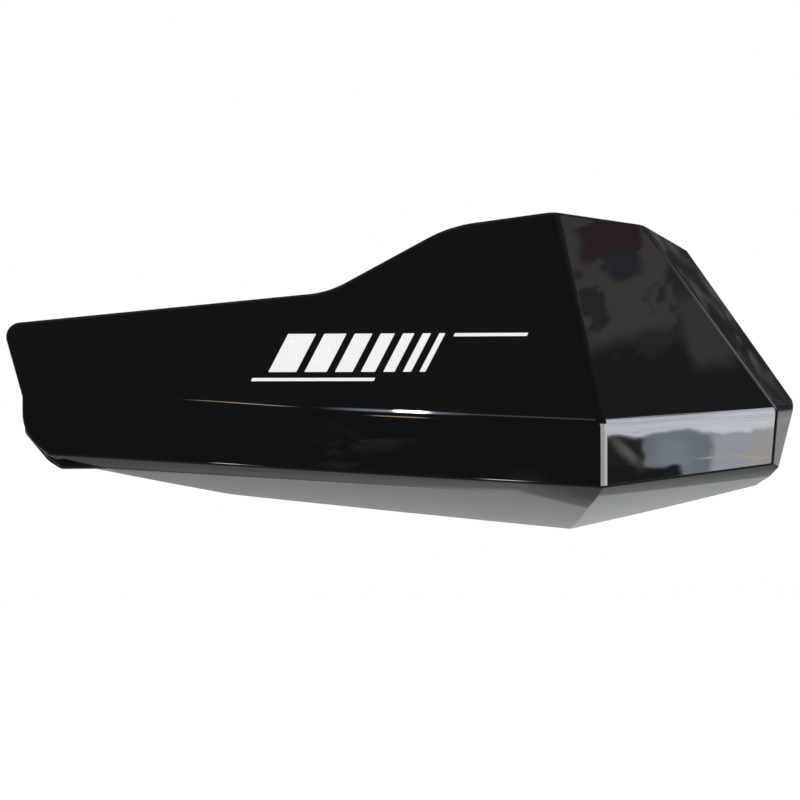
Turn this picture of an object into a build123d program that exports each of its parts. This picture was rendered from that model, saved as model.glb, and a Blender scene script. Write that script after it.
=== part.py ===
import os
from math import cos, degrees, radians, sin, sqrt, tan

from build123d import *

os.makedirs("parts", exist_ok=True)

# Motorcycle hand guard, millimetres and degrees.
# X runs outboard along the handlebar, Y back towards the rider, Z up.
# The origin is midway between the two bosses, on the plane where the bracket seats.

# Walls and rounded edges
wall = 3.0
crease_radius = 24.0
side_crease_radius = 6.0
nose_radius = 5.5
side_radius = 3.0
ridge_radius = 3.5
fold_radius = 1.0
edge_radius = 1.2
rim_round = 0.6
return_depth = 10.4

# Nose, where the inboard and outboard panels meet
nose_x = 137.0
nose_reach = 50.0
nose_crease_z = -22.5
band_height = 21.5
panel_height = 70.9
panel_lean = 15.5
panel_setback = 13.5

# Front band, swept back on both sides of the nose
tail_length = 198.0
tail_sweep = 10.7
tail_crease_rise = 8.5
end_length = 63.5
end_sweep = 28.7
end_crease_rise = 4.3
end_lean = 2.0

# Bottom return, a shallow arc behind each half of the band
floor_curve_radius = 500.0
tail_fold_climb = 3.0
end_fold_climb = 5.4
tail_floor_slope = 20.7
end_floor_slope = 22.3

# Open rim at the back
rim_back = 10.0
rim_side_out = 11.0
rim_side_rise = 0.8
rim_top_out = 18.9
rim_top_drop = 7.0

# Trimmed outline, seen from the front
shoulder_out = 31.9
shoulder_drop = 3.3
shoulder_radius = 15.0
crest_radius = 20.0
ramp_head_in = 34.7
ramp_head_drop = 4.4
ramp_head_radius = 46.0
ramp_run = 41.3
ramp_drop = 22.2
ramp_foot_radius = 33.0
tail_top_out = 8.0
tail_top_rise = 25.5
tail_top_radius = 5.0
tail_kink_radius = 6.0
tail_corner_drop = 13.2
tail_corner_radius = 15.0
tail_corner_slope = 36.0
end_trim_in = 0.8
end_trim_rise = 3.2
end_trim_radius = 9.0
end_trim_lean = 20.3
end_trim_clear = 1.2
end_corner_drop = 27.2
end_corner_radius = 4.0
end_corner_slope = 45.0

# Trimmed inboard end of the bottom return, seen from below
floor_trim_start = 73.5
floor_trim_end = 21.0

# Lip turned out round the lower corner of the tail
lip_setback = 4.8
lip_thickness = 1.6
lip_round = 1.2
lip_overlap = 2.2
lip_head_in = 0.6
lip_head_rise = 8.7
lip_corner_in = -0.1
lip_corner_rise = 0.9
lip_corner_radius = 4.0
lip_knee_in = 8.4
lip_knee_drop = 9.2
lip_knee_radius = 8.0
lip_foot_in = 12.8
lip_foot_drop = 11.9
lip_foot_radius = 3.0
lip_foot_overlap = 3.7
lip_run = 21.0
lip_climb = 0.1

# Bosses and their ribs, moulded on the back of the inboard panel
boss_spacing = 50.0
boss_diameter = 15.0
boss_draft = 1.0
rib_thickness = 2.2
rib_step = 4.0
rib_flank = 14.0
rib_height = 12.0

# Threaded inserts
insert_diameter = 8.0
insert_length = 10.0
insert_bore = 5.0
insert_groove_depth = 0.6
insert_groove_width = 1.6
insert_lead = 0.5
insert_clearance = 0.05
insert_pocket_room = 1.5

# Room past the part for the blocks that are cut to shape
room = 60.0

# Corners of the facets and of the outline
nose_y = -nose_reach
nose_foot_z = nose_crease_z - band_height
nose_top_x = nose_x - panel_lean
nose_top_z = nose_crease_z + panel_height
tail_crease_x = nose_x - tail_length
tail_crease_y = nose_y + tail_length * tan(radians(tail_sweep))
tail_crease_z = nose_crease_z + tail_crease_rise
end_crease_x = nose_x + end_length
end_crease_y = nose_y + end_length * tan(radians(end_sweep))
end_crease_z = nose_crease_z + end_crease_rise
rim_side_x = end_crease_x + rim_side_out
rim_side_z = end_crease_z + rim_side_rise
shoulder_x = nose_top_x + shoulder_out
shoulder_z = nose_top_z - shoulder_drop
rim_top_x = shoulder_x + rim_top_out
rim_top_z = shoulder_z - rim_top_drop
ramp_head_x = nose_top_x - ramp_head_in
ramp_head_z = nose_top_z - ramp_head_drop
ramp_foot_x = ramp_head_x - ramp_run
ramp_foot_z = ramp_head_z - ramp_drop
tail_top_x = tail_crease_x - tail_top_out
tail_top_z = tail_crease_z + tail_top_rise
tail_corner_z = tail_crease_z - tail_corner_drop
end_trim_x = rim_side_x - end_trim_in
end_trim_z = rim_side_z + end_trim_rise
end_corner_x = end_trim_x - end_corner_drop * tan(radians(end_trim_lean))
end_corner_z = end_trim_z - end_corner_drop
rim_top_fall = (shoulder_z - rim_top_z) / (rim_top_x - shoulder_x)
floor_trim_start_x = tail_crease_x + floor_trim_start
floor_trim_end_x = tail_crease_x + floor_trim_end

nose_crease = Vector(nose_x, nose_y, nose_crease_z)
nose_foot = Vector(nose_x, nose_y, nose_foot_z)
nose_top = Vector(nose_top_x, nose_y + panel_setback, nose_top_z)
tail_crease = Vector(tail_crease_x, tail_crease_y, tail_crease_z)
end_crease = Vector(end_crease_x, end_crease_y, end_crease_z)
rim_side = Vector(rim_side_x, rim_back, rim_side_z)
rim_top = Vector(rim_top_x, rim_back, rim_top_z)
end_foot = end_crease - Vector(end_lean, end_lean * tan(radians(end_sweep)), band_height)

# Blocks reach this far around the part
block_width = 2 * (nose_x - tail_top_x + room)
block_height = 2 * (nose_top_z - nose_foot_z + room)


def facet(first, second, third):
    # Plane through three corners of the shell, facing out
    normal = (second - first).cross(third - first)
    if normal.dot(first) < 0:
        normal = -normal
    return Plane(origin=first, z_dir=normal)


tail_panel = facet(nose_crease, tail_crease, nose_top)
end_panel = facet(nose_crease, end_crease, nose_top)
tail_band = facet(nose_crease, nose_foot, tail_crease)
end_band = facet(nose_crease, nose_foot, end_crease)
side_panel = facet(end_crease, rim_side, rim_top)
side_band = facet(end_crease, rim_side, end_foot)


def wedge(panel, band, inset, back, radius):
    # Block behind an upper panel and the band below it, with the crease between them rounded
    upper = panel.offset(-inset)
    lower = band.offset(-inset)
    with BuildPart() as block:
        with BuildSketch(Plane.XZ.offset(-back)):
            with Locations((nose_x, nose_top_z)):
                Rectangle(block_width, block_height)
        extrude(amount=back + nose_reach + room)
        split(bisect_by=upper, keep=Keep.BOTTOM)
        split(bisect_by=lower, keep=Keep.BOTTOM)
        crease = block.edges().filter_by(
            lambda edge: upper.contains(edge @ 0.5) and lower.contains(edge @ 0.5)
        )
        fillet(crease, radius)
    return block.part


def floor(sweep, climb, slope, inset):
    # Block above one half of the bottom return, an arc that runs back and down through its fold
    along = Vector(cos(radians(sweep)), sin(radians(sweep)), tan(radians(climb)))
    backwards = Vector(-sin(radians(sweep)), cos(radians(sweep)), 0)
    center = Vector(sin(radians(slope)), cos(radians(slope))) * floor_curve_radius
    lead = degrees(room / floor_curve_radius)
    run = degrees((nose_reach + block_width / 2) / floor_curve_radius)
    top = Vector(0, block_height)
    with BuildPart() as block:
        with BuildSketch(Plane(origin=nose_foot, x_dir=backwards, z_dir=along)):
            with BuildLine():
                arc = CenterArc(center, floor_curve_radius - inset, -90 - slope - lead, lead + run)
                Polyline(arc @ 1, arc @ 1 + top, arc @ 0 + top, arc @ 0)
            make_face()
        extrude(amount=block_width, both=True)
    return block.part


def moulding(front_inset, side_inset, back, rounding):
    # Solid behind all facets; each block rounds the edges that it makes with the body so far
    tail = wedge(tail_panel, tail_band, front_inset, back, crease_radius + rounding)
    end = wedge(end_panel, end_band, front_inset, back, crease_radius + rounding)
    side = wedge(side_panel, side_band, side_inset, back, side_crease_radius + rounding)
    tail_floor = floor(-tail_sweep, -tail_fold_climb, tail_floor_slope, side_inset)
    end_floor = floor(end_sweep, end_fold_climb, end_floor_slope, side_inset)
    block_ends = (Plane.XZ.offset(-back), Plane.YZ.offset(tail_top_x - room))
    with BuildPart() as floors:
        add(tail_floor)
        add(end_floor, mode=Mode.INTERSECT)
        ridge = new_edges(tail_floor, end_floor, combined=floors.part).sort_by_distance(nose_foot)[0]
        if ridge_radius + rounding > 0:
            fillet(ridge, ridge_radius + rounding)
    with BuildPart() as body:
        add(tail)
        for block, radius in ((end, nose_radius), (side, side_radius), (floors.part, fold_radius)):
            before = body.part
            add(block, mode=Mode.INTERSECT)
            seam = new_edges(before, block, combined=body.part).filter_by(
                lambda edge: not any(end.contains(edge @ 0.5) for end in block_ends)
            )
            if radius + rounding > 0:
                fillet(seam, radius + rounding)
    return body.part


def outline(inset, end_out, back):
    # Prism of the trimmed outline, seen from the front; the outboard end may stand further out
    trim_x = end_trim_x + end_out
    corner_x = end_corner_x + end_out
    corners = (
        ((tail_top_x, tail_top_z), tail_top_radius),
        ((ramp_foot_x, ramp_foot_z), ramp_foot_radius),
        ((ramp_head_x, ramp_head_z), ramp_head_radius),
        ((nose_top_x, nose_top_z), crest_radius),
        ((shoulder_x, shoulder_z), shoulder_radius),
        ((rim_top_x + end_trim_clear, rim_top_z - end_trim_clear * rim_top_fall), 0),
        ((trim_x, end_trim_z), end_trim_radius),
        ((corner_x, end_corner_z), end_corner_radius),
        ((corner_x - room, end_corner_z - room * tan(radians(end_corner_slope))), 0),
        ((tail_crease_x + room, tail_corner_z - room * tan(radians(tail_corner_slope))), 0),
        ((tail_crease_x, tail_corner_z), tail_corner_radius),
        ((tail_crease_x, tail_crease_z), tail_kink_radius),
    )
    with BuildPart() as prism:
        with BuildSketch(Plane.XZ.offset(-back)):
            with BuildLine():
                FilletPolyline(
                    *(corner for corner, radius in corners),
                    radius=[radius for corner, radius in corners],
                    close=True,
                )
            make_face()
            if inset > 0:
                offset(amount=-inset, mode=Mode.REPLACE)
        extrude(amount=back + nose_reach + room)
    return prism.part


def return_y(x):
    # Back edge of the inboard return, level with the band
    return nose_y + (nose_x - x) * tan(radians(tail_sweep)) + return_depth / cos(radians(tail_sweep))


outer = moulding(0, 0, rim_back, 0)
trimmed_by = outline(0, 0, rim_back + room)

# Hollow inside the walls, and the deeper hollow that leaves only a short return at the top and tail
with BuildPart() as hollow:
    add(moulding(wall, wall, rim_back + room, -wall))
    add(outline(wall, 2 * wall, rim_back + room), mode=Mode.INTERSECT)
    add(moulding(return_depth, wall, rim_back + room, -wall))

lip_origin = Vector(tail_crease_x, tail_crease_y + lip_setback + lip_thickness, tail_corner_z)
lip_plane = Plane(origin=lip_origin, x_dir=(1, 0, 0), z_dir=(0, -1, 0))

# Lip, a strip that stands out past the lower corner of the tail and runs out under the bottom return
with BuildPart() as lip:
    with BuildSketch(lip_plane):
        with BuildLine():
            brim = FilletPolyline(
                (lip_head_in, lip_head_rise),
                (lip_corner_in, lip_corner_rise),
                (lip_knee_in, -lip_knee_drop),
                (lip_foot_in, -lip_foot_drop),
                (lip_foot_in + lip_run, lip_climb - lip_foot_drop),
                radius=[lip_corner_radius, lip_knee_radius, lip_foot_radius],
            )
            Polyline(
                brim @ 1,
                brim @ 1 + Vector(0, lip_overlap),
                (lip_foot_in, lip_foot_overlap - lip_foot_drop),
                (lip_knee_in + lip_overlap, lip_overlap - lip_knee_drop),
                (lip_corner_in + lip_overlap, lip_corner_rise + lip_overlap / 2),
                (lip_head_in + lip_overlap, lip_head_rise),
                brim @ 0,
            )
        make_face()
    extrude(amount=lip_thickness)
    front_brim = lip_plane.offset(lip_thickness).from_local_coords(brim)
    fillet(lip.edges().filter_by(lambda edge: front_brim.distance_to(edge @ 0.5) < lip_round / 100), lip_round)

seat = Plane(origin=(0, 0, 0), x_dir=(1, 0, 0), z_dir=(0, 1, 0))
rim_plane = Plane.XZ.offset(-rim_back)
panel_core = tail_panel.offset(-wall / 2)
boss_places = (-boss_spacing / 2, boss_spacing / 2)
rib_root = sqrt((boss_diameter / 2) ** 2 - (rib_thickness / 2) ** 2)
web_end = boss_spacing / 2 + rib_root

# Boss blocks and ribs, cut off inside the wall of the inboard panel
with BuildPart() as bosses:
    with BuildSketch(Plane.XZ):
        with GridLocations(boss_spacing, 0, 2, 1):
            Circle(boss_diameter / 2)
    extrude(amount=nose_reach, taper=-boss_draft)
    with BuildSketch(Plane.XY):
        with BuildLine():
            Polyline(
                (-web_end, -rib_step),
                (web_end, -rib_step),
                (web_end + rib_flank, -nose_reach),
                (-web_end - rib_flank, -nose_reach),
                close=True,
            )
        make_face()
    extrude(amount=rib_thickness / 2, both=True)
    with BuildSketch(*(Plane.YZ.offset(x) for x in boss_places)):
        with BuildLine():
            Polyline(
                (-rib_step, rib_root),
                (-rib_step, -rib_root),
                (-nose_reach / 2, -rib_height),
                (-nose_reach, -rib_height),
                (-nose_reach, rib_height),
                (-nose_reach / 2, rib_height),
                close=True,
            )
        make_face()
    extrude(amount=rib_thickness / 2, both=True)
    split(bisect_by=panel_core, keep=Keep.BOTTOM)

# Shell: the moulding trimmed to its outline, hollowed, and given its lip, bosses and insert pockets
with BuildPart() as guard_shell:
    add(outer)
    add(trimmed_by, mode=Mode.INTERSECT)
    bends = new_edges(outer, trimmed_by, combined=guard_shell.part).filter_by(
        lambda edge: not rim_plane.contains(edge @ 0.5)
    )
    fillet(bends, edge_radius)
    rim = guard_shell.faces().sort_by(Axis.Y)[-1]
    fillet(rim.edges(), rim_round)
    add(hollow.part, mode=Mode.SUBTRACT)
    with BuildSketch(Plane.XY.offset(tail_corner_z)):
        with BuildLine():
            Polyline(
                (floor_trim_start_x, rim_back),
                (floor_trim_end_x, return_y(floor_trim_end_x)),
                (tail_top_x - room, return_y(tail_top_x - room)),
                (tail_top_x - room, rim_back + room),
                (floor_trim_start_x, rim_back + room),
                close=True,
            )
        make_face()
    extrude(amount=-room, mode=Mode.SUBTRACT)
    add(lip.part)
    add(bosses.part)
    with Locations(seat):
        with GridLocations(boss_spacing, 0, 2, 1):
            Hole(insert_diameter / 2 + insert_clearance, insert_length + insert_pocket_room)
guard_shell.part.label = "guard_shell"
export_step(guard_shell.part, "parts/guard_shell.step")

# Threaded inserts, flush with the bosses
groove_front = -insert_length / 2 - insert_groove_width / 2
groove_back = -insert_length / 2 + insert_groove_width / 2
for place, name in zip(boss_places, ("inboard_threaded_insert", "outboard_threaded_insert")):
    with BuildPart() as insert:
        with BuildSketch(Plane.XY):
            with BuildLine():
                Polyline(
                    (place + insert_bore / 2, 0),
                    (place + insert_diameter / 2, 0),
                    (place + insert_diameter / 2, groove_back),
                    (place + insert_diameter / 2 - insert_groove_depth, groove_back),
                    (place + insert_diameter / 2 - insert_groove_depth, groove_front),
                    (place + insert_diameter / 2, groove_front),
                    (place + insert_diameter / 2, insert_lead - insert_length),
                    (place + insert_diameter / 2 - insert_lead, -insert_length),
                    (place + insert_bore / 2, -insert_length),
                    close=True,
                )
            make_face()
        revolve(axis=Axis((place, 0, 0), (0, 1, 0)))
    insert.part.label = name
    export_step(insert.part, f"parts/{name}.step")
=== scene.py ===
import math
import bmesh
import bpy
from mathutils import Matrix, Vector
from mathutils.bvhtree import BVHTree


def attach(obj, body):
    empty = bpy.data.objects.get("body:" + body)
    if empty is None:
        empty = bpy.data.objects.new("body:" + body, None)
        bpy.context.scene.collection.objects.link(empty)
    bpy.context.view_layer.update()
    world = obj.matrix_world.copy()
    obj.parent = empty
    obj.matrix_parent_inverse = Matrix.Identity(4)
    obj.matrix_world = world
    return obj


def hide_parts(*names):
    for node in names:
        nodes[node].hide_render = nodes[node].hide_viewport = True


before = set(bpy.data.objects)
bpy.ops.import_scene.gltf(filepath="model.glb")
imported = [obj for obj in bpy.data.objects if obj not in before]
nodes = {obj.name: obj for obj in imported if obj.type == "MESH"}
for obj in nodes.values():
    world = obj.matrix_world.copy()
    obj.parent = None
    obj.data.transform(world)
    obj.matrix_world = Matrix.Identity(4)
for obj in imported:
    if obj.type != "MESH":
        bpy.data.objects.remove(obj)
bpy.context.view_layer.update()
mm = 0.001
print("frame loaded:", ", ".join(sorted(nodes)))


def addNode(tree, kind, **settings):
    node = tree.nodes.new(kind)
    for name, value in settings.items():
        setattr(node, name, value)
    return node


def setInputs(node, **values):
    for name, value in values.items():
        node.inputs[name.replace("_", " ")].default_value = value
    return node


def newMaterial(name):
    material = bpy.data.materials.new(name)
    material.use_nodes = True
    tree = material.node_tree
    tree.nodes.clear()
    output = tree.nodes.new("ShaderNodeOutputMaterial")
    return material, tree, output


def noiseOn(tree, vector, **values):
    noise = setInputs(addNode(tree, "ShaderNodeTexNoise"), **values)
    tree.links.new(vector, noise.inputs["Vector"])
    return noise.outputs["Fac"]


def linkObject(name, data):
    item = bpy.data.objects.new(name, data)
    bpy.context.scene.collection.objects.link(item)
    return item


def smoothFaces(bm, sharpAbove):
    for face in bm.faces:
        face.smooth = True
    for edge in bm.edges:
        edge.smooth = edge.calc_face_angle(0) < math.radians(sharpAbove)


def finishPiece(name, bm, material):
    mesh = bpy.data.meshes.new(name)
    bm.to_mesh(mesh)
    bm.free()
    mesh.materials.append(material)
    return linkObject(name, mesh)


def combine(tree, operation, *values):
    node = addNode(tree, "ShaderNodeMath", operation=operation)
    for index, value in enumerate(values):
        if isinstance(value, (int, float)):
            node.inputs[index].default_value = value
        else:
            tree.links.new(value, node.inputs[index])
    return node.outputs[0]


def spread(tree, value, fromLow, fromHigh, toLow=0.0, toHigh=1.0):
    node = addNode(tree, "ShaderNodeMapRange", interpolation_type="SMOOTHSTEP")
    setInputs(node, From_Min=fromLow, From_Max=fromHigh, To_Min=toLow, To_Max=toHigh)
    tree.links.new(value, node.inputs["Value"])
    return node.outputs["Result"]


# Moulded shell

shellLook = {
    "mergeWithin": 0.002 * mm,
    "sharpAbove": 50,                # degrees between faces
    "innerFacing": 0.05,             # faces turned back more than this have the inner finish
    "bossZone": (58 * mm, 13 * mm),  # half width and half height of the bosses and ribs
    "bossFacing": -0.3,              # and there all faces but those turned to the front
    "bend": 1.49,                    # index of refraction
    "black": (0.0026, 0.0027, 0.0028, 1),
    "gloss": (0.012, 0.032),         # roughness, clean and smeared
    "smearScale": 14,
    "smearRange": (0.42, 0.72),
    "innerBlack": (0.012, 0.0122, 0.0126, 1),
    "dust": (0.0175, 0.0176, 0.0178, 1),
    "dustRange": (0.42, 0.68),
    "satin": (0.36, 0.56),           # roughness inside
    "satinRange": (0.35, 0.7),
    "scuffScale": 60,
    "wave": 0.012 * mm,              # slow waviness of the panels
    "waveScale": 26,
    "peel": 0.00008 * mm,            # fine ripple of the gloss
    "peelScale": 900,
    "grain": 0.03 * mm,              # inside
    "grainScale": 2600,
}


def shellPlastic(look):
    material, tree, output = newMaterial("blackMouldedPlastic")
    links = tree.links
    coords = addNode(tree, "ShaderNodeTexCoord").outputs["Object"]
    inner = addNode(tree, "ShaderNodeAttribute", attribute_name="innerFace").outputs["Fac"]
    shader = addNode(tree, "ShaderNodeBsdfPrincipled")
    setInputs(shader, IOR=look["bend"])

    scuffs = noiseOn(tree, coords, Scale=look["scuffScale"], Detail=8, Roughness=0.7)
    innerTone = addNode(tree, "ShaderNodeMix", data_type="RGBA")
    innerTone.inputs["A"].default_value = look["innerBlack"]
    innerTone.inputs["B"].default_value = look["dust"]
    links.new(spread(tree, scuffs, *look["dustRange"]), innerTone.inputs["Factor"])
    tone = addNode(tree, "ShaderNodeMix", data_type="RGBA")
    tone.inputs["A"].default_value = look["black"]
    links.new(innerTone.outputs["Result"], tone.inputs["B"])
    links.new(inner, tone.inputs["Factor"])
    links.new(tone.outputs["Result"], shader.inputs["Base Color"])

    smears = noiseOn(tree, coords, Scale=look["smearScale"], Detail=5, Roughness=0.62)
    rough = addNode(tree, "ShaderNodeMix", data_type="FLOAT")
    links.new(inner, rough.inputs["Factor"])
    links.new(spread(tree, smears, *look["smearRange"], *look["gloss"]), rough.inputs["A"])
    links.new(spread(tree, scuffs, *look["satinRange"], *look["satin"]), rough.inputs["B"])
    links.new(rough.outputs["Result"], shader.inputs["Roughness"])

    wave = noiseOn(tree, coords, Scale=look["waveScale"], Detail=1)
    peel = noiseOn(tree, coords, Scale=look["peelScale"], Detail=2)
    grain = noiseOn(tree, coords, Scale=look["grainScale"], Detail=2)
    outerHeight = combine(
        tree, "ADD",
        combine(tree, "MULTIPLY", wave, look["wave"]),
        combine(tree, "MULTIPLY", peel, look["peel"]),
    )
    innerHeight = combine(tree, "MULTIPLY", grain, look["grain"])
    height = addNode(tree, "ShaderNodeMix", data_type="FLOAT")
    links.new(inner, height.inputs["Factor"])
    links.new(outerHeight, height.inputs["A"])
    links.new(innerHeight, height.inputs["B"])
    bump = setInputs(addNode(tree, "ShaderNodeBump"), Strength=1.0, Distance=1.0)
    links.new(height.outputs["Result"], bump.inputs["Height"])
    links.new(bump.outputs["Normal"], shader.inputs["Normal"])
    links.new(shader.outputs[0], output.inputs["Surface"])
    return material


def dressShell(look):
    bm = bmesh.new()
    bm.from_mesh(nodes["guard_shell"].data)
    bmesh.ops.remove_doubles(bm, verts=bm.verts, dist=look["mergeWithin"])
    bmesh.ops.dissolve_degenerate(bm, edges=bm.edges, dist=look["mergeWithin"])
    innerLayer = bm.faces.layers.float.new("innerFace")
    zoneX, zoneZ = look["bossZone"]
    for face in bm.faces:
        centre = face.calc_center_median()
        inZone = abs(centre.x) < zoneX and abs(centre.z) < zoneZ
        onBoss = inZone and face.normal.y > look["bossFacing"]
        face[innerLayer] = 1.0 if face.normal.y > look["innerFacing"] or onBoss else 0.0
    smoothFaces(bm, look["sharpAbove"])
    surface = BVHTree.FromBMesh(bm)
    piece = finishPiece("guardShell", bm, shellPlastic(look))
    normals = piece.modifiers.new("panelNormals", "WEIGHTED_NORMAL")
    normals.mode = "FACE_AREA"
    normals.weight = 100
    normals.keep_sharp = True
    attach(piece, "root")
    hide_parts("guard_shell")
    print("shell dressed:", len(piece.data.polygons), "faces")
    return surface


shellSurface = dressShell(shellLook)

# Brass inserts with their threads, turned on the bolt axes

insertLook = {
    "places": {  # the node that each takes over, and its place along the guard in mm
        "inboardInsert": ("inboard_threaded_insert", -25.0),
        "outboardInsert": ("outboard_threaded_insert", 25.0),
    },
    "outline": (  # radius and depth of the turned body
        (3.04, -0.16), (3.18, 0.0), (3.92, 0.0), (4.0, -0.08),
        (4.0, -4.2), (3.4, -4.2), (3.4, -5.8), (4.0, -5.8),
        (4.0, -9.5), (3.5, -10.0), (3.18, -10.0), (3.04, -9.86),
    ),
    "thread": ((3.08, -0.44), (2.5, -0.0625), (2.5, 0.0625), (3.08, 0.44)),  # radius and rise
    "threadFoot": -9.1,
    "pitch": 1.0,
    "turns": 8,
    "steps": 48,                     # in a turn
    "sharpAbove": 30,
    "brass": (0.66, 0.45, 0.17, 1),
    "tarnish": (0.50, 0.33, 0.12, 1),
    "tarnishRange": (0.4, 0.75),
    "stainScale": 420,
    "rough": (0.24, 0.44),
    "roughRange": (0.3, 0.8),
}


def turnedBrass(look):
    material, tree, output = newMaterial("turnedBrass")
    links = tree.links
    coords = addNode(tree, "ShaderNodeTexCoord").outputs["Object"]
    shader = addNode(tree, "ShaderNodeBsdfPrincipled")
    setInputs(shader, Metallic=1.0)
    stain = noiseOn(tree, coords, Scale=look["stainScale"], Detail=4)
    tone = addNode(tree, "ShaderNodeMix", data_type="RGBA")
    tone.inputs["A"].default_value = look["brass"]
    tone.inputs["B"].default_value = look["tarnish"]
    links.new(spread(tree, stain, *look["tarnishRange"]), tone.inputs["Factor"])
    links.new(tone.outputs["Result"], shader.inputs["Base Color"])
    links.new(spread(tree, stain, *look["roughRange"], *look["rough"]), shader.inputs["Roughness"])
    links.new(shader.outputs[0], output.inputs["Surface"])
    return material


def turnInserts(look):
    brass = turnedBrass(look)
    steps = look["steps"]
    for name, (node, place) in look["places"].items():
        bm = bmesh.new()
        body = [bm.verts.new((radius, depth, 0)) for radius, depth in look["outline"]]
        rim = [bm.edges.new((body[index - 1], body[index])) for index in range(len(body))]
        bmesh.ops.spin(
            bm, geom=body + rim, axis=(0, 1, 0), cent=(0, 0, 0),
            angle=math.tau, steps=steps, use_merge=True,
        )
        foot = look["threadFoot"]
        ridge = bm.faces.new([bm.verts.new((radius, foot + rise, 0)) for radius, rise in look["thread"]])
        bmesh.ops.spin(
            bm, geom=[ridge] + ridge.edges[:] + ridge.verts[:], axis=(0, 1, 0), cent=(0, 0, 0),
            dvec=(0, look["pitch"] / steps, 0),
            angle=math.tau * look["turns"], steps=steps * look["turns"],
        )
        bmesh.ops.recalc_face_normals(bm, faces=bm.faces)
        bmesh.ops.translate(bm, verts=bm.verts, vec=(place, 0, 0))
        bmesh.ops.scale(bm, verts=bm.verts, vec=(mm, mm, mm))
        smoothFaces(bm, look["sharpAbove"])
        piece = finishPiece(name, bm, brass)
        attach(piece, "root")
        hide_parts(node)
    print("inserts turned:", ", ".join(look["places"]))


turnInserts(insertLook)

# Stripes on the inboard panel: white vinyl bars, slanted and narrowing outboard

stripeLook = {
    "bars": (  # start and width in mm
        (28.0, 9.6), (40.4, 7.6), (50.8, 6.0), (59.6, 4.8), (67.2, 3.8), (73.8, 2.8), (79.4, 2.0),
    ),
    "barFoot": -5.5,
    "barHeight": 13.0,
    "lines": ((23.6, 42.0, -8.6, 1.1), (84.6, 24.5, 6.4, 1.1)),  # start, length, foot, height
    "slant": 0.52,
    "thick": 0.09,
    "sunk": 0.03,                    # into the shell
    "cornerRound": 0.25,
    "castFrom": -200,                # in front of the guard
    "white": (0.87, 0.88, 0.89, 1),
    "bend": 1.45,
    "rough": (0.28, 0.5),
    "wearScale": 180,
    "wearRange": (0.3, 0.8),
}


def whiteVinyl(look):
    material, tree, output = newMaterial("whiteVinyl")
    links = tree.links
    coords = addNode(tree, "ShaderNodeTexCoord").outputs["Object"]
    shader = addNode(tree, "ShaderNodeBsdfPrincipled")
    setInputs(shader, Base_Color=look["white"], IOR=look["bend"])
    wear = noiseOn(tree, coords, Scale=look["wearScale"], Detail=4)
    links.new(spread(tree, wear, *look["wearRange"], *look["rough"]), shader.inputs["Roughness"])
    links.new(shader.outputs[0], output.inputs["Surface"])
    return material


def cutStripes(look, surface):
    shapes = [(start, look["barFoot"], width, look["barHeight"]) for start, width in look["bars"]]
    shapes += [(start, foot, length, height) for start, length, foot, height in look["lines"]]
    slanted = Matrix(((1, look["slant"], 0, 0), (0, 1, 0, 0), (0, 0, 1, 0), (0, 0, 0, 1)))
    bm = bmesh.new()
    for start, foot, width, height in shapes:
        square = bmesh.ops.create_grid(bm, x_segments=1, y_segments=1, size=0.5)["verts"]
        bmesh.ops.translate(bm, verts=square, vec=(0.5, 0.5, 0))
        bmesh.ops.scale(bm, verts=square, vec=(width, height, 1))
        bmesh.ops.transform(bm, matrix=slanted, verts=square)
        bmesh.ops.translate(bm, verts=square, vec=(start + foot * look["slant"], foot, 0))
    bmesh.ops.bevel(
        bm, geom=bm.verts[:], offset=look["cornerRound"], offset_type="OFFSET", segments=3, profile=0.5,
        affect="VERTICES", material=-1,
    )
    for vert in bm.verts:  # stood up in front of the panel, then laid on it
        upright = Vector((vert.co.x, look["castFrom"], vert.co.y)) * mm
        place, normal = surface.ray_cast(upright, Vector((0, 1, 0)))[:2]
        vert.co = place - normal * look["sunk"] * mm
    bmesh.ops.recalc_face_normals(bm, faces=bm.faces)
    for face in bm.faces:
        if face.normal.y > 0:
            face.normal_flip()
    bmesh.ops.solidify(bm, geom=bm.faces[:], thickness=-(look["thick"] + look["sunk"]) * mm)
    bmesh.ops.recalc_face_normals(bm, faces=bm.faces)
    piece = finishPiece("panelStripes", bm, whiteVinyl(look))
    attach(piece, "root")
    print("stripes cut:", len(shapes), "shapes")


cutStripes(stripeLook, shellSurface)

# Floor and backdrop

stageLook = {
    "floorHeight": -0.200,           # metres, as all lengths here
    "floorSize": 6.0,
    "floorFront": -0.35,
    "pale": (0.9, 0.9, 0.9, 1),
    "lift": 0.25,                    # white added for the camera
    "paintedShade": (0.24, 0.44),           # painted shadow: the level gloss sees of the floor where the guard's shadow falls
    "paintedShadeRun": 0.04,
    "paintedTint": (0.96, 1, 0.99, 1),
    "paintedLit": 0.4,                     # painted light added past the painted shadow's edge
    "paintedShadeEdge": 0.004,
    "paintedShadeLines": ((0.216, -0.35), (0.0855, 0.885)),  # edges of the painted shadow: how far back at x = 0, and slope
    "cardPlace": (0.07, 1.3, 0.10),
    "cardSize": (0.95, 1.0),
}


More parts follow.
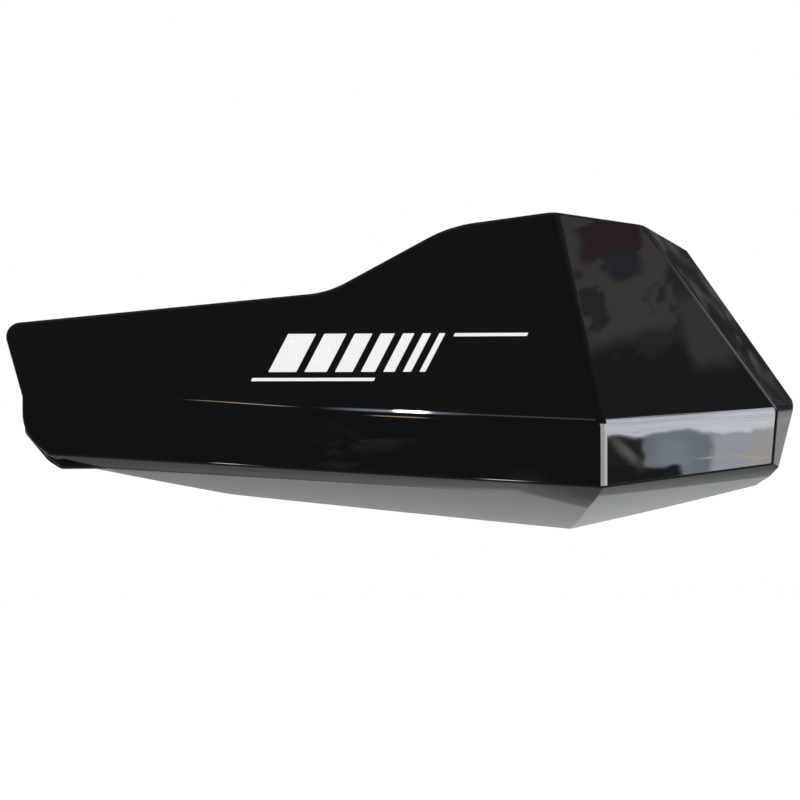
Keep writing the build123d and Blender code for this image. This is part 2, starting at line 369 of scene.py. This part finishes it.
def paleFloor(look):
    material, tree, output = newMaterial("paleFloor")
    links = tree.links
    coords = addNode(tree, "ShaderNodeTexCoord").outputs["Object"]
    split = addNode(tree, "ShaderNodeSeparateXYZ")
    links.new(coords, split.inputs[0])
    path = addNode(tree, "ShaderNodeLightPath")
    cloth = addNode(tree, "ShaderNodeBsdfDiffuse")
    cloth.inputs["Color"].default_value = look["pale"]
    white = addNode(tree, "ShaderNodeEmission")
    lifted = combine(tree, "MULTIPLY", path.outputs["Is Camera Ray"], look["lift"])
    links.new(lifted, white.inputs["Strength"])
    seen = addNode(tree, "ShaderNodeAddShader")
    links.new(cloth.outputs[0], seen.inputs[0])
    links.new(white.outputs[0], seen.inputs[1])
    # Painted shadow and light: glossy and transmission rays see this written pattern of the floor, darker
    # where the guard's shadow falls and paler past its edge, in place of the floor's own lit shade
    mirrored = addNode(tree, "ShaderNodeEmission")
    inboard, outboard = (
        combine(tree, "ADD", combine(tree, "MULTIPLY", split.outputs["X"], slope), back)
        for back, slope in look["paintedShadeLines"]
    )
    beyond = combine(tree, "SUBTRACT", split.outputs["Y"], combine(tree, "MAXIMUM", inboard, outboard))
    paintedShade = spread(tree, beyond, -look["paintedShadeRun"], 0, *look["paintedShade"])
    lit = spread(tree, beyond, -look["paintedShadeEdge"], look["paintedShadeEdge"], 0, look["paintedLit"])
    links.new(combine(tree, "ADD", paintedShade, lit), mirrored.inputs["Strength"])
    mirrored.inputs["Color"].default_value = look["paintedTint"]
    either = combine(tree, "MAXIMUM", path.outputs["Is Glossy Ray"], path.outputs["Is Transmission Ray"])
    mix = addNode(tree, "ShaderNodeMixShader")
    links.new(either, mix.inputs["Fac"])
    links.new(seen.outputs[0], mix.inputs[1])
    links.new(mirrored.outputs[0], mix.inputs[2])
    oneSided = addNode(tree, "ShaderNodeMixShader")  # clear from below
    links.new(addNode(tree, "ShaderNodeNewGeometry").outputs["Backfacing"], oneSided.inputs["Fac"])
    links.new(mix.outputs[0], oneSided.inputs[1])
    links.new(addNode(tree, "ShaderNodeBsdfTransparent").outputs[0], oneSided.inputs[2])
    links.new(oneSided.outputs[0], output.inputs["Surface"])
    return material


def whiteCard():
    material, tree, output = newMaterial("whiteCard")
    glow = addNode(tree, "ShaderNodeEmission")
    tree.links.new(glow.outputs[0], output.inputs["Surface"])
    return material


def layStage(look):
    half = look["floorSize"] / 2
    bm = bmesh.new()
    bmesh.ops.create_grid(bm, x_segments=1, y_segments=1, size=half)
    bmesh.ops.translate(bm, verts=bm.verts, vec=(0, look["floorFront"] + half, look["floorHeight"]))
    floor = finishPiece("floor", bm, paleFloor(look))
    bm = bmesh.new()
    bmesh.ops.create_grid(bm, x_segments=1, y_segments=1, size=0.5)
    bmesh.ops.scale(bm, verts=bm.verts, vec=(*look["cardSize"], 1))
    bmesh.ops.rotate(bm, verts=bm.verts, matrix=Matrix.Rotation(math.radians(90), 3, "X"))
    bmesh.ops.translate(bm, verts=bm.verts, vec=look["cardPlace"])
    card = finishPiece("backCard", bm, whiteCard())
    print("stage laid")


layStage(stageLook)

# Light: even light for matt surfaces, and the surroundings that the gloss mirrors

surroundings = {
    "even": 0.86,
    "dim": (0.074, 0.095, 0.103, 1),  # between the patches
    "wobble": 0.005,                  # of the edges of wavy patches
    "wobbleScale": 70,
    # Patches lie over each other in this order. Azimuth from the front towards outboard and elevation,
    # half width and half height, and roll are in degrees; blotch is a noise's scale and range
    "patches": [
        # broad light low on the outboard side, for the outboard band and its crease
        {"at": (65, 5), "half": (5, 10), "soft": 0.04, "wavy": True,
         "colour": (0.97, 0.98, 1.06), "strength": 12.5},
        {"at": (65, 7), "half": (5, 9), "soft": 0.1,
         "colour": (0.93, 0.97, 1.12), "strength": 15.5, "blotch": (1, 0.46, 0.58), "stretch": (9, 1, 22)},
        {"at": (65, 0.5), "half": (5, 1.05), "soft": 0.2, "wavy": True,
         "colour": (0.95, 1, 1.08), "strength": 15},
        {"at": (65.5, 0.2), "half": (4, 1.2), "soft": 0.3, "wavy": True,
         "colour": (1, 0.98, 1.02), "strength": 11.5, "blotch": (1, 0.48, 0.6), "stretch": (14, 1, 300)},
        {"at": (65, -2.6), "half": (5, 2.05), "soft": 0.03, "wavy": True,
         "colour": (0.86, 1, 1.13), "strength": 4.0},
        {"at": (63.9, -1.3), "half": (0.45, 0.5), "soft": 0.6, "wavy": True,
         "colour": (0.82, 0.95, 1.12), "strength": 5.2},
        {"at": (67.1, -2.6), "half": (2.2, 2.05), "soft": 0.05, "wavy": True,
         "colour": (0.94, 1, 1.12), "strength": 8},
        {"at": (67.9, -2.6), "half": (2.2, 2.2), "soft": 0.05, "wavy": True,
         "colour": (1.02, 1, 0.97), "strength": 8},
        {"at": (62.2, -2.0), "half": (1.0, 1.4), "soft": 0.06, "wavy": True,
         "colour": (1, 1, 1), "strength": 0.25},
        {"at": (62.9, -2.5), "half": (1.2, 0.95), "soft": 0.06, "wavy": True,
         "colour": (1, 1, 1), "strength": 0.15},
        {"at": (62.75, -1.1), "half": (0.5, 0.14), "roll": -50, "soft": 0.8, "wavy": True,
         "colour": (1, 0.97, 0.95), "strength": 2.2},
        {"at": (65.4, -1.4), "half": (0.8, 0.03), "soft": 0.4, "wavy": True,
         "colour": (1, 0.93, 0.8), "strength": 9.5},
        # mottled light above it, for the outboard panel
        {"at": (66.5, 28.2), "half": (4.0, 1.9), "soft": 0.15, "wavy": True,
         "colour": (1, 0.94, 0.86), "strength": 1.15},
        {"at": (66.5, 28.2), "half": (4.0, 2.4), "soft": 0.15, "wavy": True,
         "colour": (0.95, 1, 1.1), "strength": 0.35, "blotch": (60, 0.5, 0.56)},
        {"at": (65.9, 28.8), "half": (0.75, 0.45), "soft": 0.08, "wavy": True,
         "colour": (1, 0.3, 0.42), "strength": 0.5},
        {"at": (66.0, 28.1), "half": (0.45, 0.35), "soft": 0.3, "wavy": True,
         "colour": (0.65, 0.8, 1.2), "strength": 0.4},
        {"at": (67.8, 26.0), "half": (0.7, 0.9), "soft": 0.3, "wavy": True,
         "colour": (1, 0.96, 0.9), "strength": 0.9},
        # beside and behind, for the outboard side
        {"at": (98, 22), "half": (22, 9), "soft": 0.2,
         "colour": (1, 0.97, 0.92), "strength": 2.0},
        {"at": (150, 16), "half": (12, 8), "soft": 0.4,
         "colour": (1, 1, 1.1), "strength": 0.055},
        {"at": (150, 16), "half": (6, 5), "roll": -30, "soft": 0.4,
         "colour": (1, 0.94, 0.88), "strength": 0.3, "blotch": (1, 0.46, 0.7), "stretch": (330, 1, 50)},
        {"at": (142, -5), "half": (14, 8), "soft": 0.4,
         "colour": (1, 0.97, 0.93), "strength": 0.75},
        # above the inboard panel and overhead
        {"at": (-23, 20), "half": (12, 6), "soft": 0.3,
         "colour": (1, 0.98, 0.95), "strength": 0.115},
        {"at": (0, 75), "half": (50, 30), "soft": 0.5,
         "colour": (1, 1, 1), "strength": 0.35},
        # lamp in front, with its glow, and lesser lights beside it and below
        {"at": (-18.5, 11.8), "half": (3.2, 0.9), "soft": 0.7,
         "colour": (1, 1.02, 1.08), "strength": 1.3},
        {"at": (-21.2, 11.5), "half": (1.0, 1.6), "soft": 0.98,
         "colour": (0.8, 0.95, 1.2), "strength": 7},
        {"at": (-20.85, 12.0), "half": (0.3, 1.5), "soft": 0.5,
         "colour": (1, 1, 1), "strength": 300},
        {"at": (-21.3, 3.2), "half": (0.6, 0.6), "soft": 0.4,
         "colour": (1, 0.75, 0.5), "strength": 8},
        {"at": (-25.0, 13.6), "half": (2.1, 0.2), "roll": -59, "soft": 0.3,
         "colour": (1, 0.8, 0.58), "strength": 11},
        {"at": (-26.9, -15), "half": (0.3, 9), "roll": -7, "soft": 0.5,
         "colour": (1, 1, 1.05), "strength": 20},
        {"at": (-19.95, -15), "half": (0.45, 9), "roll": -7, "soft": 0.5,
         "colour": (1, 1, 1.05), "strength": 20},
        {"at": (-22.3, -1.2), "half": (1.0, 0.6), "soft": 0.8, "wavy": True,
         "colour": (0.95, 1, 1.05), "strength": 0.42, "blotch": (1, 0.44, 0.72), "stretch": (60, 1, 140)},
    ],
    "keyPlace": (-0.5, -1.6, 1.7),
    "keySize": 1.2,
    "keyPower": 12,
}


def softPatch(tree, direction, patch):
    azimuth, elevation = (math.radians(angle) for angle in patch["at"])
    roll = math.radians(patch.get("roll", 0))
    turn = Matrix.Rotation(roll, 3, "Y")
    turn = turn @ Matrix.Rotation(elevation, 3, "X") @ Matrix.Rotation(-azimuth, 3, "Z")
    facing = addNode(tree, "ShaderNodeMapping", vector_type="POINT")
    facing.inputs["Rotation"].default_value = turn.to_euler("XYZ")
    tree.links.new(direction, facing.inputs["Vector"])
    split = addNode(tree, "ShaderNodeSeparateXYZ")
    tree.links.new(facing.outputs[0], split.inputs[0])
    mask = combine(tree, "LESS_THAN", split.outputs["Y"], 0.0)
    for axis, half in zip("XZ", patch["half"]):
        away = combine(tree, "ABSOLUTE", split.outputs[axis])
        reach = math.sin(math.radians(half))
        edge = spread(tree, away, reach * (1 - patch["soft"]), reach * (1 + patch["soft"]), 1.0, 0.0)
        mask = combine(tree, "MULTIPLY", mask, edge)
    if "blotch" in patch:
        scale, low, high = patch["blotch"]
        drawn = addNode(tree, "ShaderNodeVectorMath", operation="MULTIPLY")
        tree.links.new(facing.outputs[0], drawn.inputs[0])
        drawn.inputs[1].default_value = patch.get("stretch", (1, 1, 1))
        noise = noiseOn(tree, drawn.outputs[0], Scale=scale, Detail=3, Distortion=0.6)
        mask = combine(tree, "MULTIPLY", mask, spread(tree, noise, low, high))
    return mask


def lightRoom(room):
    world = bpy.data.worlds.new("room")
    bpy.context.scene.world = world
    world.use_nodes = True
    world.cycles.sampling_method = "NONE"
    tree = world.node_tree
    tree.nodes.clear()
    links = tree.links
    direction = addNode(tree, "ShaderNodeTexCoord").outputs["Generated"]
    noise = setInputs(addNode(tree, "ShaderNodeTexNoise"), Scale=room["wobbleScale"], Detail=2)
    links.new(direction, noise.inputs["Vector"])
    shift = addNode(tree, "ShaderNodeVectorMath", operation="MULTIPLY_ADD")
    links.new(noise.outputs["Color"], shift.inputs[0])
    shift.inputs[1].default_value = [room["wobble"] * 2] * 3
    shift.inputs[2].default_value = [-room["wobble"]] * 3
    wavy = addNode(tree, "ShaderNodeVectorMath", operation="ADD")
    links.new(direction, wavy.inputs[0])
    links.new(shift.outputs[0], wavy.inputs[1])
    seen = None
    for patch in room["patches"]:
        layer = addNode(tree, "ShaderNodeMix", data_type="RGBA")
        towards = wavy.outputs[0] if patch.get("wavy") else direction
        links.new(softPatch(tree, towards, patch), layer.inputs["Factor"])
        layer.inputs["A"].default_value = room["dim"]
        if seen:
            links.new(seen, layer.inputs["A"])
        layer.inputs["B"].default_value = [part * patch["strength"] for part in patch["colour"]] + [1]
        seen = layer.outputs["Result"]
    path = addNode(tree, "ShaderNodeLightPath")
    mirrored = addNode(tree, "ShaderNodeBackground")
    links.new(seen, mirrored.inputs["Color"])
    even = addNode(tree, "ShaderNodeBackground")
    even.inputs["Color"].default_value = (1, 1, 1, 1)
    even.inputs["Strength"].default_value = room["even"]
    white = addNode(tree, "ShaderNodeBackground")
    white.inputs["Color"].default_value = (1, 1, 1, 1)
    glossOrEven = addNode(tree, "ShaderNodeMixShader")
    links.new(path.outputs["Is Glossy Ray"], glossOrEven.inputs["Fac"])
    links.new(even.outputs[0], glossOrEven.inputs[1])
    links.new(mirrored.outputs[0], glossOrEven.inputs[2])
    final = addNode(tree, "ShaderNodeMixShader")
    clear = combine(tree, "MAXIMUM", path.outputs["Is Camera Ray"], path.outputs["Is Transmission Ray"])
    links.new(clear, final.inputs["Fac"])
    links.new(glossOrEven.outputs[0], final.inputs[1])
    links.new(white.outputs[0], final.inputs[2])
    output = addNode(tree, "ShaderNodeOutputWorld")
    links.new(final.outputs[0], output.inputs["Surface"])

    lamp = bpy.data.lights.new("keyLamp", "AREA")
    lamp.energy = room["keyPower"]
    lamp.size = room["keySize"]
    key = linkObject("keyLamp", lamp)
    key.location = room["keyPlace"]
    key.rotation_euler = (-Vector(room["keyPlace"])).to_track_quat("-Z", "Y").to_euler()
    key.visible_glossy = False
    print("room lit:", len(room["patches"]), "patches")


lightRoom(surroundings)

# Strip light bent round the nose, which only the gloss there mirrors

stripLook = {
    "at": (138.06, -57.58, -33.75),  # middle of its inboard end, in mm
    "tall": 24.5,
    "around": (137.5, -49.6),        # the nose in plan
    "turn": 63,                      # degrees
    "steps": 16,
    "colour": (1, 1, 1.03, 1),
    "glow": (7.5, 11.5),
    "streaks": (0.16, 0.16, 0.002),  # to a mm
    "streakRange": (0.4, 0.6),
}


def stripGlow(look):
    material, tree, output = newMaterial("stripGlow")
    coords = addNode(tree, "ShaderNodeTexCoord").outputs["Object"]
    drawn = addNode(tree, "ShaderNodeVectorMath", operation="MULTIPLY")
    tree.links.new(coords, drawn.inputs[0])
    drawn.inputs[1].default_value = [part / mm for part in look["streaks"]]
    streaks = noiseOn(tree, drawn.outputs[0], Scale=1.0, Detail=2)
    glow = setInputs(addNode(tree, "ShaderNodeEmission"), Color=look["colour"])
    tree.links.new(spread(tree, streaks, *look["streakRange"], *look["glow"]), glow.inputs["Strength"])
    tree.links.new(glow.outputs[0], output.inputs["Surface"])
    return material


def hangStrip(look):
    bm = bmesh.new()
    middle, half = Vector(look["at"]), Vector((0, 0, look["tall"] / 2))
    ends = [bm.verts.new(middle - half), bm.verts.new(middle + half)]
    bmesh.ops.spin(
        bm, geom=ends + [bm.edges.new(ends)], axis=(0, 0, 1), cent=(*look["around"], 0),
        angle=math.radians(look["turn"]), steps=look["steps"],
    )
    bmesh.ops.scale(bm, verts=bm.verts, vec=(mm, mm, mm))
    strip = finishPiece("noseStrip", bm, stripGlow(look))
    strip.visible_camera = strip.visible_diffuse = False
    strip.visible_shadow = strip.visible_transmission = False
    print("strip light hung")


hangStrip(stripLook)

# Camera, level and square to the guard as in the photograph

photoCamera = {
    "place": (0.070, -0.840, -0.015),
    "lens": 107.44,
    "sensor": 36.0,
    "clip": (0.05, 20),
}


def placeCamera(view):
    data = bpy.data.cameras.new("photoCamera")
    data.lens = view["lens"]
    data.sensor_width = view["sensor"]
    data.dof.use_dof = False
    data.clip_start, data.clip_end = view["clip"]
    camera = linkObject("photoCamera", data)
    camera.location = view["place"]
    camera.rotation_euler = (math.radians(90), 0, 0)
    bpy.context.scene.camera = camera
    bpy.context.scene.view_settings.view_transform = "Standard"
    print("camera placed")


placeCamera(photoCamera)
